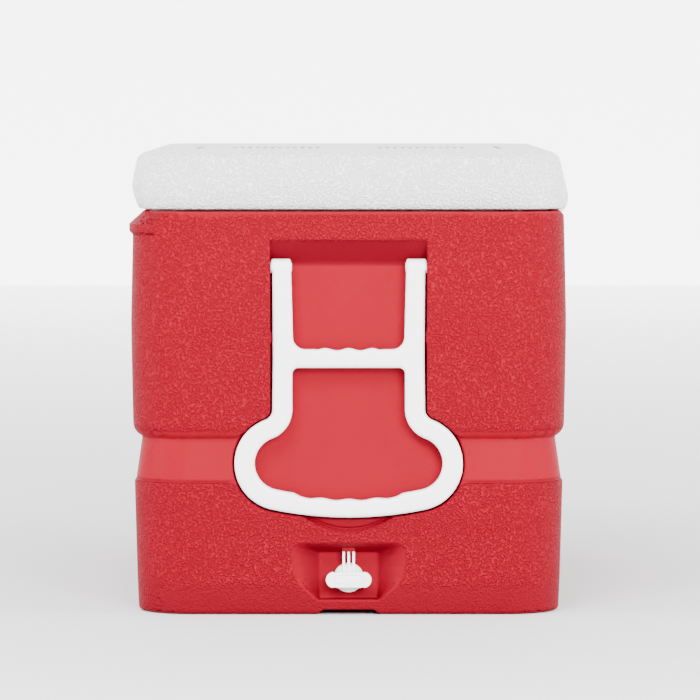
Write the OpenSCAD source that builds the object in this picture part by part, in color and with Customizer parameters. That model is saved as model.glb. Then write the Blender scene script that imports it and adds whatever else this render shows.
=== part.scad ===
// Hard-sided ice chest: an insulated body with a hinged lid, a swing handle in a pocket at each end,
// and a plugged drain at the right end. Millimetres. +X is the drain end, -Y the front, +Z up.
// The origin is the middle of the base.

/* [Overall] */
// Length of the chest
length = 716; // [700:2:740]
// Width of the chest over its front ledge
width = 396; // [392:1:400]
// Height of the closed chest
height = 414; // [412:1:418]
// Thickness of the moulded outer skins
wall = 2.5; // [2.2:0.1:3]
// Radius of the upright corners
corner_r = 55; // [45:1:60]

/* [Liner] */
// Length of the opening
opening_l = 640; // [630:1:644]
// Width of the opening
opening_w = 322; // [312:1:324]
// Height of the liner's floor
floor_z = 41.5; // [38:0.5:48]
// How much narrower the floor is than the opening, at each side
liner_draft = 10; // [6:0.5:14]
// Thickness of the liner
liner_t = 2; // [1.8:0.1:2.5]
// Height of the rim under the lid
rim_z = 362; // [361.9:0.1:362.1]

/* [Lid] */
// Height of the lid's lower edge
lid_z = 362.9; // [362.9:0.1:363.2]
// Depth of the plug under the lid
plug_depth = 13; // [8:0.5:16]
// Gap between that plug and the liner
plug_gap = 2.5; // [2:0.1:4]

/* [Handles] */
// Distance of each arm's middle line from the middle of the end
arm_y = 59.3; // [58:0.1:60]
// Width of the bar
bar_w = 18; // [16:0.5:18.5]
// Thickness of the bar
bar_t = 15; // [13:0.5:15]
// How far the bar lies behind the end face
bar_sink = 1.5; // [1:0.1:1.8]
// Height of the pivot
pivot_z = 311.5; // [310:0.5:312]
// How far the pivot lies behind the bar's middle plane
pivot_back = 1; // [0.5:0.1:1]
// Length of the arm above the pivot
arm_end = 8.5; // [8:0.1:8.5]
// Radius of the bend between arm and lobe, at the middle line
bend_r = 19; // [18:0.5:20]
// Radius of the lobes, at the middle line
lobe_r = 33; // [31:0.5:34]
// Distance of the lobes' centres from the middle
lobe_y = 60; // [58:0.5:61]
// Height of the lobes' centres
lobe_z = 135.9; // [135:0.1:138]
// Radius of the lower grip, at the middle line
grip_r = 326.4; // [320:0.2:340]
// Height of the upper grip's lower edge
crossbar_z = 221.6; // [218:0.2:226]
// Height of the upper grip's bar
crossbar_h = 17.2; // [16:0.1:18]
// Radius of the pivot pins
pin_r = 4; // [3.5:0.1:4.2]
// Radius of the collar on each pivot pin
collar_r = 5.4; // [5:0.1:5.6]

/* [Handle pockets] */
// Depth of the pocket
pocket_depth = 19.5; // [19:0.1:20]
// Gap between the handle and the pocket's sides
pocket_gap = 1.6; // [1.5:0.1:2]
// Height of the pocket's top edge
pocket_top = 336.5; // [336:0.5:340]
// Height at which the sloped ceiling meets the pocket's floor
pocket_ceiling = 314.9; // [314:0.1:318]
// Lowest point of the finger scoop
scoop_z = 74.5; // [73:0.5:81]
// Half width of the finger scoop
scoop_half_w = 42; // [38:1:44]
// Depth of the finger scoop
scoop_depth = 12; // [8:0.5:14]

/* [Drain] */
// Height of the drain's middle line
drain_z = 32; // [31.5:0.1:34]
// Depth of the drain recess
recess_depth = 26; // [24:0.5:27]
// Radius of the drain's bore
drain_bore_r = 8; // [7:0.5:8]
// Radius of the spout's tube
spout_r = 9.5; // [9.5:0.1:10]
// Radius of the spout's flange
spout_flange_r = 13.5; // [13:0.1:13.6]
// Radius of the cap's disc
cap_r = 12.6; // [12:0.1:12.8]
// Width of the strap
strap_w = 11.4; // [10:0.2:12]

/* [Hinges] */
// Distance of each hinge from the middle
hinge_x = 200; // [120:5:260]
// Length of a hinge
hinge_l = 90; // [75:3:120]
// Height of the hinge line
hinge_z = 362.9; // [362.8:0.1:363]
// Distance of the hinge line behind the middle
hinge_y = 192.5; // [192:0.1:192.5]
// Radius of the hinge knuckles
knuckle_r = 5.2; // [5:0.1:5.3]
// Radius of the hinge pins
hinge_pin_r = 2; // [1.5:0.1:2.2]
// Thickness of the hinge leaves
leaf_t = 3; // [2.5:0.1:3]

/* [Hidden] */
half_l = length / 2;
// The ledge stands out past the body's widest line by this much
ledge_out = 1.8;
half_w = width / 2 - ledge_out;
corner_steps = 6;
// Gap that keeps the foam clear of its skins
foam_gap = 0.2;
// Clearance of a pressed part in its hole, and running clearance of a pin in its bore
fit = 0.05;
running = 0.08;
// Cuts and joined solids reach past the faces they cross by one of these
over = 1;
past = 5;

// The body's side from the base up: height, and how far inside the widest line it lies
body_profile = [
    [0, 10.6], [2.5, 9.5], [5.4, 8.4], [9.6, 7.4], [13.8, 6.6], [20, 6.2], [28, 5.8], [44, 5],
    [98.6, 3.2], [119.2, 3], [119.8, 4.4], [154, 9.7], [158.3, 9.1], [164, 4.7], [171, 2],
    [207, 1], [260, 0], [320, 1.1], [351, 2], [356.7, 3], [361.4, 5.3]
];
body_top = 361.4;

// The lid's side from its lower edge up: height, and how far inside the lid's widest line its ends and
// front lie, and its rear
lid_profile = [
    [0, 7.6, 6], [1, 6.3, 3.9], [4.3, 4.4, 1.2], [9.5, 2.5, 0], [16, 0.7, 0.2], [21, 0, 0.6],
    [25.7, 0.5, 2], [37, 2.6, 4.9], [44.7, 4.8, 7.6], [49.3, 9, 10.5]
];
lid_edge_inset = 15;
lid_half_l = half_l - 0.6;
lid_front = 195;
lid_rear = width / 2;

// The front ledge: its outermost line ends here, and a chamfer runs in from it over the body's front edge
ledge_top = 349.8;
chamfer_slope = 1.245;
chamfer_end = 356.2;
// The ledge's section: Y and Z. Its inner points lie within the body's wall
ledge_section = [
    [-193.5, 338.5], [-194.8, 340], [-197.4, 341], [-width / 2, 343.5], [-width / 2, ledge_top],
    [(chamfer_end - ledge_top) * chamfer_slope - width / 2, chamfer_end], [-193, ledge_top]
];
ledge_half_l = half_l - corner_r;
// How far the liner's flange stays inside the body's widest line
flange_inset = 9.5;
flange_front_inset = 17;

// The liner's corners, and its foot: height, inset from its sides, how much smaller its corners are
liner_corner_r = 42;
liner_foot = [[0, 10, 14], [2.5, 3.5, 9], [9, 0, 6]];
// The lid's plug and the flange around it
plug_corner_r = 37;
plug_edge = 3;
lid_flange_inset = 12;

// The ends curve in towards the base from this height, by at most this much
tuck_z = 28;
tuck_depth = 7;
tuck_power = 1.3;

// Handle centres
bar_half = bar_w / 2;
bar_front = half_l - bar_sink;
bar_back = bar_front - bar_t;
pivot_x = (bar_front + bar_back) / 2 - pivot_back;
bend_y = arm_y + bend_r;
bend_z = lobe_z + sqrt(pow(bend_r + lobe_r, 2) - pow(bend_y - lobe_y, 2));
bend_angle = atan2(bend_z - lobe_z, bend_y - lobe_y);
grip_z = lobe_z + sqrt(pow(grip_r - lobe_r, 2) - lobe_y * lobe_y);
grip_angle = atan2(lobe_z - grip_z, lobe_y);
arm_top = pivot_z + arm_end;

// The pin sockets stand this far behind the pocket's side
socket_l = 12;
socket_r = 8;
// The pins end this far inside the arms, and their collars keep this gap at each side
pin_back = 0.5;
collar_gap = 0.2;

// The channel under each end: length, half widths at the base and at its top, and height
channel_l = 45;
channel_foot = 29.3;
channel_head = 22.8;
channel_h = 4.2;

// Drain stations along X
recess_floor = half_l - recess_depth;
recess_mouth = half_l - 5;
// The recess's sections at its floor and at its mouth, for y > 0: Y and Z from the base up
recess_floor_side = [[22, 13.4], [26.2, 17.6], [26.2, 55.2]];
recess_mouth_side = [
    [28, 13.3], [36, 19.4], [42.8, 25.8], [47.3, 33.7], [49.6, 44], [49.7, 57], [43, 63.9]
];
flange_t = 3;
flange_face = recess_floor + flange_t;
sump_in_x = opening_l / 2 - liner_draft - 1;
sump_len = 25;
sump_half_w = 20;
sump_z = 18;
sump_over = 6;
gasket_t = 1;
nut_t = 5;
nut_r = 13;
gasket_r = 12.5;
spout_in = sump_in_x - gasket_t - nut_t - 1;
cap_gap = 0.2;
seal_t = 1.2;
seal_r = 11;
seal_bore_r = 8.4;
disc_t = 3;
disc_back = flange_face + cap_gap + seal_t;
disc_front = disc_back + disc_t;
wing_l = 12.5;
wing_half_w = 20.5;
wing_h = 14.3;
wing_drop = 0.7;
wing_edge = 1.5;
stem_r = 6;
stem_l = 3.5;
strap_x = disc_back + 2.2;
strap_t = 3.4;
strap_top = 54.6;
rib_w = 2.4;
slot_end = 1.5;
strap_hinge_x = strap_x + strap_t / 2;
anchor_half_l = 2.7;
anchor_low = strap_top + 1.8;
anchor_stem_h = 9;
anchor_stem_r = 3;
seat_r = strap_t / 2 + 0.3;

// Screw sizes and places
screw_r = 2.1;
screw_head_r = 4;
screw_head_t = 2.4;
screw_l = 15;
screw_x = hinge_l / 3;
boss_r = 5;
leaf_y = 190.5;
body_leaf_low = 328;
body_screw_z = 339;
lid_leaf_high = 388;
lid_screw_z = 379;
hinge_clear = 1.1;
knuckle_gap = 0.5;
// Gaps round the leaves in their recess
leaf_gap = 1;
leaf_back_gap = 0.2;
// The bosses and the holes in them reach past the screws' points
boss_over = 1;
hole_over = 0.5;

red = [0.81, 0.22, 0.24];
white = [0.96, 0.96, 0.95];
liner_white = [0.93, 0.94, 0.94];
foam_yellow = [0.93, 0.87, 0.66];
rubber_grey = [0.22, 0.22, 0.23];
steel = [0.72, 0.73, 0.75];

// ---- Outlines ----

function arc(cx, cy, r, from, to, steps) = [
    for (i = [0:steps]) let (a = from + (to - from) * i / steps) [cx + r * cos(a), cy + r * sin(a)]
];

// A rounded rectangle between y0 and y1, anticlockwise
function rounded(hx, y0, y1, r) = concat(
    arc(hx - r, y1 - r, r, 0, 90, corner_steps),
    arc(r - hx, y1 - r, r, 90, 180, corner_steps),
    arc(r - hx, y0 + r, r, 180, 270, corner_steps),
    arc(hx - r, y0 + r, r, 270, 360, corner_steps)
);

function reversed(points) = [for (i = [len(points) - 1:-1:0]) points[i]];
function mirrored(points) = [for (p = reversed(points)) [-p[0], p[1]]];

// The handle's middle line moved outward by off, from the top of the arm at y > 0 to the bottom
function half_path(off, top) = concat(
    [[arm_y + off, top]],
    arc(bend_y, bend_z, bend_r - off, 180, 180 + bend_angle, 6),
    arc(lobe_y, lobe_z, lobe_r + off, bend_angle - 8, grip_angle, 16),
    arc(0, grip_z, grip_r + off, grip_angle + (-90 - grip_angle) / 6, -90, 5)
);
function full_path(off, top) = let (half = half_path(off, top))
    concat(half, mirrored([for (i = [0:len(half) - 2]) half[i]]));

handle_outline = concat(full_path(bar_half, arm_top), reversed(full_path(-bar_half, arm_top)));

// The side of the bar: X and Z, with its end rounded about the pivot
handle_side = concat(
    [[bar_back, scoop_z], [bar_front, scoop_z]],
    [for (p = arc(pivot_x, pivot_z, arm_end, 0, 180, 16)) [max(bar_back, min(bar_front, p[0])), p[1]]]
);

// ---- Building blocks ----

// A solid through a stack of rounded rectangles: each is height, half length, front, rear, radius
module loft(levels) {
    m = 4 * (corner_steps + 1);
    n = len(levels);
    polyhedron(
        points = [for (l = levels) for (p = rounded(l[1], l[2], l[3], l[4])) [p[0], p[1], l[0]]],
        faces = concat(
            [[for (i = [0:m - 1]) i]],
            [for (k = [0:n - 2]) for (i = [0:m - 1])
                [k * m + i, (k + 1) * m + i, (k + 1) * m + (i + 1) % m, k * m + (i + 1) % m]],
            [[for (i = [m - 1:-1:0]) (n - 1) * m + i]]
        )
    );
}

module along_x(x0, x1) {
    translate([x0, 0, 0]) rotate([90, 0, 90]) linear_extrude(x1 - x0) children();
}

module along_y(y0, y1) {
    translate([0, y1, 0]) rotate([90, 0, 0]) linear_extrude(y1 - y0) children();
}

module rod_x(x0, x1, y, z, r) {
    translate([x0, y, z]) rotate([0, 90, 0]) cylinder(h = x1 - x0, r = r, $fn = 48);
}

module rod_y(y0, y1, x, z, r) {
    translate([x, y0, z]) rotate([-90, 0, 0]) cylinder(h = y1 - y0, r = r, $fn = 48);
}

module ring_x(x0, x1, z, r_out, r_in) {
    difference() {
        rod_x(x0, x1, 0, z, r_out);
        rod_x(x0 - 1, x1 + 1, 0, z, r_in);
    }
}

module block(low, high) {
    translate(low) cube(high - low);
}

module both_ends() {
    children();
    mirror([1, 0, 0]) children();
}

module both_hinges() {
    for (side = [-1, 1]) translate([side * hinge_x, 0, 0]) children();
}

// ---- Forms of the body ----

function end_tuck(z) = z > tuck_z ? 0 : tuck_depth * pow(1 - z / tuck_z, tuck_power);
function front_inset(p) = max(p[1], (p[0] - ledge_top) * chamfer_slope - ledge_out);

// The body's outer form, or the same drawn in by t
module body_form(t, low, high) {
    loft([for (p = body_profile) [
        max(low, min(high, p[0] + (p[0] == body_top ? high - body_top : 0))),
        half_l - p[1] - end_tuck(p[0]) - t, front_inset(p) + t - half_w, half_w - p[1] - t,
        corner_r - p[1] - t
    ]]);
}

module liner_form(t, low) {
    hx = opening_l / 2 + t;
    hy = opening_w / 2 + t;
    r = liner_corner_r + t;
    loft(concat(
        [for (p = liner_foot) let (inset = liner_draft + p[1])
            [low + p[0], hx - inset, inset - hy, hy - inset, r - p[2]]],
        [[lid_z + over, hx, -hy, hy, r]]
    ));
}

module sump_form(t) {
    block([sump_in_x - sump_len - t, -sump_half_w - t, sump_z - t],
        [sump_in_x + t, sump_half_w + t, floor_z + sump_over]);
}

// Every recess takes t: 0 cuts the recess, and a larger t leaves a wall behind it

module handle_pocket(t) {
    back = half_l - pocket_depth - t;
    front = half_l + past;
    slope = (pocket_top - pocket_ceiling) / pocket_depth;
    rise = t * (1 + slope);
    top = pocket_top + rise + slope * past;
    intersection() {
        along_x(back - over, front) polygon(full_path(bar_half + pocket_gap + t, top));
        along_y(-half_w, half_w)
            polygon([[back, 0], [front, 0], [front, top], [back, pocket_ceiling + rise - t * slope]]);
    }
}

module finger_scoop(t) {
    edge = grip_z - sqrt(pow(grip_r + bar_half + pocket_gap, 2) - scoop_half_w * scoop_half_w);
    sag = edge - scoop_z;
    r = (scoop_half_w * scoop_half_w + sag * sag) / (2 * sag);
    a = asin(scoop_half_w / r);
    along_x(half_l - scoop_depth - t, half_l + past)
        polygon(concat(arc(0, scoop_z + r, r + t, -90 - a, -90 + a, 12), [[0, scoop_z + r]]));
}

// A section of the drain recess drawn out by t
function recess_side(points, t) = let (last = len(points) - 1) [
    for (i = [0:last]) points[i] + [i > 0 ? t : 0, i == 0 ? -t : i == last ? t : 0]
];
function recess_ceiling(x) = let (low = recess_floor_side[2][1], high = recess_mouth_side[6][1])
    low + (high - low) * (x - recess_floor) / (recess_mouth - recess_floor);

module drain_recess(t) {
    slice = 0.01;
    hull() {
        along_x(recess_floor - t, recess_floor - t + slice)
            let (side = recess_side(recess_floor_side, t)) polygon(concat(side, mirrored(side)));
        along_x(recess_mouth, half_l + over)
            let (side = recess_side(recess_mouth_side, t)) polygon(concat(side, mirrored(side)));
    }
}

module base_channel(t) {
    foot = channel_foot + t;
    head = channel_head + t;
    along_x(half_l - channel_l, half_l + over)
        polygon([[-foot, -over], [foot, -over], [head, channel_h + t], [-head, channel_h + t]]);
}

module hinge_recess(t) {
    half = hinge_l / 2 + leaf_gap + t;
    far = width / 2 + past;
    back = leaf_y - leaf_back_gap - t;
    block([-half, back, body_leaf_low - leaf_gap - t], [half, far, hinge_z]);
    block([-half, back, hinge_z - over], [half, far, lid_leaf_high + leaf_gap + t]);
    rod_x(-half, half, hinge_y, hinge_z, knuckle_r + hinge_clear + t);
}

module screw_bosses(z, t) {
    for (x = [-screw_x, screw_x]) rod_y(leaf_y - screw_l - boss_over - t, leaf_y, x, z, boss_r + t);
}

module screw_holes(z) {
    for (x = [-screw_x, screw_x]) rod_y(leaf_y - screw_l - hole_over, leaf_y + past, x, z, screw_r + fit);
}

module pin_sockets(t) {
    wall_y = arm_y + bar_half + pocket_gap;
    for (side = [0, 1]) mirror([0, side, 0])
        rod_y(wall_y, wall_y + socket_l + t, pivot_x, pivot_z, socket_r + t);
}

module anchor_stem(t) {
    translate([strap_hinge_x, 0, strap_top]) cylinder(h = anchor_stem_h + t, r = anchor_stem_r + t, $fn = 32);
}

// Everything that is pressed into the body from outside
module body_recesses(t) {
    both_ends() {
        handle_pocket(t);
        finger_scoop(t);
        base_channel(t);
    }
    drain_recess(t);
    both_hinges() hinge_recess(t);
}

// ---- Body ----

module outer_shell() color(red) difference() {
    union() {
        difference() {
            body_form(0, 0, body_top);
            difference() {
                body_form(wall, wall, body_top + over);
                body_recesses(wall);
                both_hinges() screw_bosses(body_screw_z, 0);
                both_ends() pin_sockets(0);
            }
        }
        along_x(-ledge_half_l, ledge_half_l) polygon(ledge_section);
    }
    body_recesses(0);
    both_hinges() screw_holes(body_screw_z);
    both_ends() for (side = [0, 1]) mirror([0, side, 0])
        rod_y(arm_y, arm_y + bar_half + pocket_gap + socket_l - over, pivot_x, pivot_z, pin_r + fit);
    rod_x(recess_floor - 2 * wall, recess_floor + over, 0, drain_z, spout_r + fit);
    anchor_stem(fit);
}

module liner() color(liner_white) difference() {
    union() {
        liner_form(liner_t, floor_z - liner_t);
        translate([0, 0, rim_z - liner_t]) linear_extrude(liner_t)
            polygon(rounded(half_l - flange_inset, flange_front_inset - half_w,
                half_w - flange_inset, corner_r - flange_inset));
    }
    liner_form(0, floor_z);
    sump_form(liner_t);
    translate([0, 0, rim_z]) linear_extrude(past) square([length, width], center = true);
    both_hinges() hinge_recess(wall + foam_gap);
}

// The cup in the liner's floor that the water drains to, with the spout's hole
module drain_sump() color(liner_white) difference() {
    sump_form(liner_t);
    sump_form(0);
    liner_form(0, floor_z);
    rod_x(sump_in_x - over, sump_in_x + past, 0, drain_z, spout_r + fit);
}

module body_foam() color(foam_yellow) difference() {
    t = wall + foam_gap;
    body_form(t, t, rim_z - liner_t - foam_gap);
    body_recesses(t);
    both_hinges() screw_bosses(body_screw_z, foam_gap);
    both_ends() pin_sockets(foam_gap);
    liner_form(liner_t + foam_gap, floor_z - liner_t - foam_gap);
    sump_form(liner_t + foam_gap);
    rod_x(sump_in_x, recess_floor, 0, drain_z, spout_r + foam_gap);
    anchor_stem(foam_gap);
}

// ---- Drain ----

module drain_spout() color(white) {
    ring_x(spout_in, recess_floor + over, drain_z, spout_r, drain_bore_r);
    ring_x(recess_floor, flange_face, drain_z, spout_flange_r, drain_bore_r);
}

module drain_gasket() color(rubber_grey)
    ring_x(sump_in_x - gasket_t, sump_in_x, drain_z, gasket_r, spout_r + fit);

module drain_nut() color(white) difference() {
    translate([sump_in_x - gasket_t - nut_t, 0, drain_z]) rotate([0, 90, 0])
        cylinder(h = nut_t, r = nut_r, $fn = 8);
    rod_x(spout_in - over, sump_in_x, 0, drain_z, spout_r + fit);
}

// The block that the strap swings from, with a round seat over the strap's end
module drain_strap_anchor() color(red) difference() {
    union() {
        along_y(-strap_w / 2, strap_w / 2) polygon([
            for (side = [-1, 1]) [strap_hinge_x + side * anchor_half_l, anchor_low],
            for (side = [1, -1]) let (x = strap_hinge_x + side * anchor_half_l) [x, recess_ceiling(x) - fit]
        ]);
        anchor_stem(0);
    }
    block([0, -strap_w, 0], [half_l, strap_w, anchor_low]);
    rod_y(-strap_w, strap_w, strap_hinge_x, strap_top, seat_r);
}

module drain_cap() color(white) {
    rod_x(disc_back, disc_front, 0, drain_z, cap_r);
    rod_x(disc_back - stem_l - cap_gap - seal_t, disc_back + over, 0, drain_z, stem_r);
    end_r = wing_h / 2;
    end_y = wing_half_w - end_r;
    z = drain_z - wing_drop;
    for (y = [-end_y, end_y]) rod_x(disc_front - over, disc_front + wing_l, y, z, end_r);
    block([disc_front - over, -end_y, z - end_r + wing_edge],
        [disc_front + wing_l - wing_edge, end_y, z + end_r - wing_edge]);
}

module drain_cap_seal() color(rubber_grey)
    ring_x(disc_back - seal_t, disc_back, drain_z, seal_r, seal_bore_r);

module drain_strap() color(white) difference() {
    union() {
        block([strap_x, -strap_w / 2, drain_z + cap_r - over], [strap_x + strap_t, strap_w / 2, strap_top]);
        rod_y(-strap_w / 2, strap_w / 2, strap_hinge_x, strap_top, strap_t / 2);
    }
    for (side = [-1, 1]) let (gap = (strap_w - 3 * rib_w) / 2, y = side * (rib_w + gap) / 2)
        block([0, y - gap / 2, drain_z + cap_r + slot_end], [half_l, y + gap / 2, strap_top - slot_end]);
    rod_x(0, half_l, 0, drain_z, cap_r + fit);
}

// ---- Hinges ----

module knuckle(x0, x1) rod_x(x0, x1, hinge_y, hinge_z, knuckle_r);

module leaf_screw_holes(z) {
    for (x = [-screw_x, screw_x]) rod_y(leaf_y - over, leaf_y + leaf_t + over, x, z, screw_r + 2 * fit);
}

module body_leaf() color(white) difference() {
    third = hinge_l / 6;
    union() {
        block([-hinge_l / 2, leaf_y, body_leaf_low], [hinge_l / 2, leaf_y + leaf_t, hinge_z]);
        knuckle(-hinge_l / 2, -third);
        knuckle(third, hinge_l / 2);
    }
    rod_x(-third - knuckle_gap, third + knuckle_gap, hinge_y, hinge_z, knuckle_r + over);
    rod_x(-hinge_l, hinge_l, hinge_y, hinge_z, hinge_pin_r + running);
    leaf_screw_holes(body_screw_z);
}

module lid_leaf() color(white) difference() {
    third = hinge_l / 6;
    union() {
        block([-hinge_l / 2, leaf_y, hinge_z], [hinge_l / 2, leaf_y + leaf_t, lid_leaf_high]);
        knuckle(-third, third);
    }
    for (side = [0, 1]) mirror([side, 0, 0]) rod_x(third, hinge_l, hinge_y, hinge_z, knuckle_r + over);
    rod_x(-hinge_l, hinge_l, hinge_y, hinge_z, hinge_pin_r + running);
    leaf_screw_holes(lid_screw_z);
}

module hinge_pin() color(steel) rod_x(-hinge_l / 2, hinge_l / 2, hinge_y, hinge_z, hinge_pin_r);

module screw_pair(z) color(steel) for (x = [-screw_x, screw_x]) {
    rod_y(leaf_y - screw_l, leaf_y + leaf_t + over, x, z, screw_r);
    rod_y(leaf_y + leaf_t, leaf_y + leaf_t + screw_head_t, x, z, screw_head_r);
}

module body_hinge_screws() both_hinges() screw_pair(body_screw_z);

module lid_hinge_screws() both_hinges() screw_pair(lid_screw_z);

// ---- Lid ----

module lid_form(t, low, high) {
    loft(concat(
        [for (p = lid_profile) [
            min(high, max(low, lid_z + p[0])), lid_half_l - p[1] - t, p[1] + t - lid_front,
            lid_rear - p[2] - t, corner_r - p[1] - t
        ]],
        [[high, lid_half_l - lid_edge_inset - t, lid_edge_inset + t - lid_front,
            lid_rear - lid_edge_inset - t, corner_r - lid_edge_inset - t]]
    ));
}

module plug_form(t) {
    hx = opening_l / 2 - plug_gap - t;
    hy = opening_w / 2 - plug_gap - t;
    low = lid_z - plug_depth + t;
    loft([
        [low, hx - plug_edge, plug_edge - hy, hy - plug_edge, plug_corner_r - plug_edge],
        [low + plug_edge, hx, -hy, hy, plug_corner_r],
        [lid_z + liner_t + over, hx, -hy, hy, plug_corner_r]
    ]);
}

module lid_shell() color(white) difference() {
    lid_form(0, 0, height);
    difference() {
        lid_form(wall, lid_z - over, height - wall);
        both_hinges() hinge_recess(wall);
        both_hinges() screw_bosses(lid_screw_z, 0);
    }
    both_hinges() hinge_recess(0);
    both_hinges() screw_holes(lid_screw_z);
}

module lid_liner() color(liner_white) difference() {
    union() {
        translate([0, 0, lid_z]) linear_extrude(liner_t)
            polygon(rounded(lid_half_l - lid_flange_inset, lid_flange_inset - lid_front,
                lid_rear - lid_flange_inset, corner_r - lid_flange_inset));
        plug_form(0);
    }
    plug_form(liner_t);
    translate([0, 0, lid_z + liner_t]) linear_extrude(past) square([length, width], center = true);
    both_hinges() hinge_recess(wall + foam_gap);
}

module lid_foam() color(foam_yellow) difference() {
    union() {
        intersection() {
            lid_form(wall + foam_gap, lid_z, height - wall - foam_gap);
            block([-half_l, -width / 2, lid_z + liner_t + foam_gap], [half_l, width / 2, height]);
        }
        intersection() {
            plug_form(liner_t + foam_gap);
            block([-half_l, -width / 2, 0], [half_l, width / 2, lid_z + liner_t + 2 * foam_gap]);
        }
    }
    both_hinges() hinge_recess(wall + foam_gap);
    both_hinges() screw_bosses(lid_screw_z, foam_gap);
}

// ---- Handles ----

module end_handle() color(white) difference() {
    intersection() {
        union() {
            along_x(bar_back - over, bar_front + over) polygon(handle_outline);
            block([bar_back - over, bar_half - over - arm_y, crossbar_z],
                [bar_front + over, arm_y - bar_half + over, crossbar_z + crossbar_h]);
        }
        along_y(-half_w, half_w) polygon(handle_side);
    }
    for (side = [0, 1]) mirror([0, side, 0])
        rod_y(arm_y - bar_half - over, arm_y + bar_half + over, pivot_x, pivot_z, pin_r + running);
}

// The stub pin at y > 0, from the arm through its collar into the socket
module handle_pin() color(white) {
    wall_y = arm_y + bar_half + pocket_gap;
    rod_y(arm_y - bar_half + pin_back, wall_y + socket_l - 2 * over, pivot_x, pivot_z, pin_r);
    rod_y(arm_y + bar_half + collar_gap, wall_y - collar_gap, pivot_x, pivot_z, collar_r);
}

module left_end() mirror([1, 0, 0]) children();
module front_side() mirror([0, 1, 0]) children();

outer_shell();
liner();
drain_sump();
body_foam();
drain_spout();
drain_gasket();
drain_nut();
drain_strap_anchor();
translate([hinge_x, 0, 0]) body_leaf();  // body_hinge_leaf_right
translate([-hinge_x, 0, 0]) body_leaf();  // body_hinge_leaf_left
translate([hinge_x, 0, 0]) hinge_pin();  // hinge_pin_right
translate([-hinge_x, 0, 0]) hinge_pin();  // hinge_pin_left
body_hinge_screws();
front_side() handle_pin();  // right_handle_pin_front
handle_pin();  // right_handle_pin_rear
left_end() front_side() handle_pin();  // left_handle_pin_front
left_end() handle_pin();  // left_handle_pin_rear
lid_shell();
lid_liner();
lid_foam();
translate([hinge_x, 0, 0]) lid_leaf();  // lid_hinge_leaf_right
translate([-hinge_x, 0, 0]) lid_leaf();  // lid_hinge_leaf_left
lid_hinge_screws();
end_handle();  // right_handle
left_end() end_handle();  // left_handle
drain_cap();
drain_strap();
drain_cap_seal();
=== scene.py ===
"""An ice chest seen from its drain end: the looks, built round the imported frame.

Shapes are worked out in millimetres as distance fields, negative inside, and meshed where they are zero.
"""

import math

import bpy
import numpy as np
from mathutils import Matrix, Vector


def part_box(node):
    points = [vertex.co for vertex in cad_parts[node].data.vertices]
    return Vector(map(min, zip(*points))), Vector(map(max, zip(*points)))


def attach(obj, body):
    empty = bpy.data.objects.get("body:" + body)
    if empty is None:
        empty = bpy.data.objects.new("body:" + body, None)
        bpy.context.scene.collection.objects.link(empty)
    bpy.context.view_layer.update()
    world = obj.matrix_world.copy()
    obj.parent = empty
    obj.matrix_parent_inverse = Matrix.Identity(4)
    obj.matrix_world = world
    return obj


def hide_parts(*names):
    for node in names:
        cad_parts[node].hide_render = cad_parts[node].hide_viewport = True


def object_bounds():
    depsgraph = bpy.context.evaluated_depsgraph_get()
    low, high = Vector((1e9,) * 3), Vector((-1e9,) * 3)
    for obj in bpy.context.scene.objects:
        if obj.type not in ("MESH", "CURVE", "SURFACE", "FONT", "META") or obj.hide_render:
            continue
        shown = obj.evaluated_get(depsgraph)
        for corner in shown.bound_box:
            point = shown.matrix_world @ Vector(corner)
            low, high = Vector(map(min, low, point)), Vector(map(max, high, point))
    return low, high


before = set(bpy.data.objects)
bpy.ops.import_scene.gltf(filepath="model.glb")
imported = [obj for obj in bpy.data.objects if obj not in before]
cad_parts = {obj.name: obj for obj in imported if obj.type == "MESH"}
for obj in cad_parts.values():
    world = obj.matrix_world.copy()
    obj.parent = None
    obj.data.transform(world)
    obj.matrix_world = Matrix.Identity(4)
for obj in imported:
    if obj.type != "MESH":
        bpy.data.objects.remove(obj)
CAD_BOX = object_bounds()
MM = 1000.0


def box_mm(node):
    """Lowest and highest corners of a CAD node, in millimetres."""
    low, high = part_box(node)
    return np.array(low) * MM, np.array(high) * MM


def centre(box):
    return (box[0] + box[1]) / 2


# ---- Sizes, in millimetres: the CAD's own where the frame has them ----

# The body and the lid
HALF_L = CAD_BOX[1].x * MM
HALF_W = CAD_BOX[1].y * MM
HEIGHT = CAD_BOX[1].z * MM
BODY_HALF_W = HALF_W - 1.8
BODY_TOP = box_mm("outer_shell")[1][2] - 0.1
LID_LOW = box_mm("lid_shell")[0][2]
LID_REAR = HALF_W
LID_FRONT = 195.0
LID_TOP_R = 7.0
SKIN = 2.5
CORNER_R = 55.0
WIDEST_Z = 260.0
TUCK_Z = 28.0
TUCK_DEPTH = 8.5
TOP_R = 0.5
BASE_R = 3.5

# The slant at the body's rear top edge, which lets the open lid clear it
REAR_EDGE_Y = 190.2
REAR_SLANT = 1.2

# Heights between which the smooth strip along the foot turns pebbled
FOOT = (18, 32)

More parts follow.
